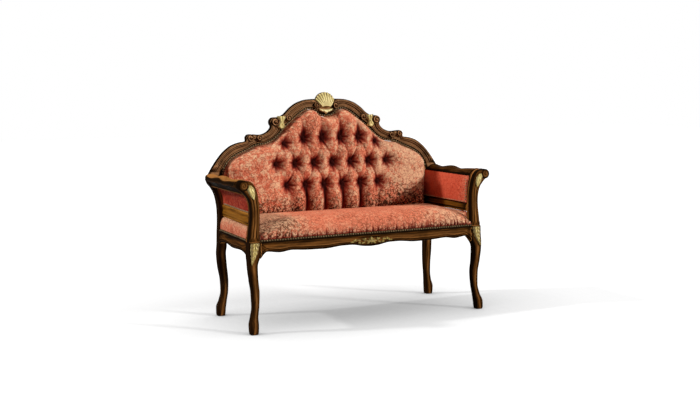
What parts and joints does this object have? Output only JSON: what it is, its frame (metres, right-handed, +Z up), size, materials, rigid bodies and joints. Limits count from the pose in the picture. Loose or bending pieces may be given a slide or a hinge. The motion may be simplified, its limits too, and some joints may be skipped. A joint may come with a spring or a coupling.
{
  "type": "settee",
  "caption": "Rococo-style settee: carved show-wood frame with a shell-topped serpentine crest, padded open arms, deep-buttoned back and tight crowned seat on cabriole legs.",
  "frame": {"origin": "on the floor, under the middle of the settee's box", "axes": "+X along the length to the sitter's left, -Y towards the front, +Z up"},
  "size_m": [1.316, 0.5338, 1.056],
  "materials": {
    "walnut": "dark walnut stain under glossy lacquer, lighter on worn ridges",
    "beech": "plain sawn timber inside the frame",
    "gilt": "carved wood under cream and champagne gilding",
    "damask": "coral red woven damask with tan leaf motifs",
    "braid": "dark bronze gimp braid with small nails",
    "jute": "coarse woven webbing",
    "cambric": "thin black lining cloth"
  },
  "bodies": {
    "root": {"arm_leaf_left": "gilt", "arm_leaf_right": "gilt", "arm_pad_left": "damask", "arm_pad_right": "damask", "arm_rail_left": "walnut", "arm_rail_right": "walnut", "arm_stretcher_left": "walnut", "arm_stretcher_right": "walnut", "arm_support_left": "walnut", "arm_support_right": "walnut", "back_button_lower_1": "damask", "back_button_lower_2": "damask", "back_button_lower_3": "damask", "back_button_lower_4": "damask", "back_button_lower_5": "damask", "back_button_lower_6": "damask", "back_button_middle_1": "damask", "back_button_middle_2": "damask", "back_button_middle_3": "damask", "back_button_middle_4": "damask", "back_button_middle_5": "damask", "back_button_middle_6": "damask", "back_button_middle_7": "damask", "back_button_upper_1": "damask", "back_button_upper_2": "damask", "back_button_upper_3": "damask", "back_button_upper_4": "damask", "back_button_upper_5": "damask", "back_button_upper_6": "damask", "back_gimp": "braid", "back_pad": "damask", "back_shoulder_left": "walnut", "back_shoulder_right": "walnut", "back_webbing": "jute", "corner_block_front_left": "beech", "corner_block_front_right": "beech", "corner_block_rear_left": "beech", "corner_block_rear_right": "beech", "crest_leaf_left": "gilt", "crest_leaf_right": "gilt", "crest_rail": "walnut", "crest_shell": "gilt", "dust_cover": "cambric", "front_leg_left": "walnut", "front_leg_right": "walnut", "front_rail_spray": "gilt", "front_seat_rail": "walnut", "knee_leaf_left": "gilt", "knee_leaf_right": "gilt", "lower_back_rail": "beech", "outside_back_cover": "damask", "rear_leg_left": "walnut", "rear_leg_right": "walnut", "rear_seat_rail": "walnut", "seat_gimp": "braid", "seat_pad": "damask", "seat_webbing": "jute", "side_seat_rail_left": "walnut", "side_seat_rail_right": "walnut"}
  },
  "joints": []
}
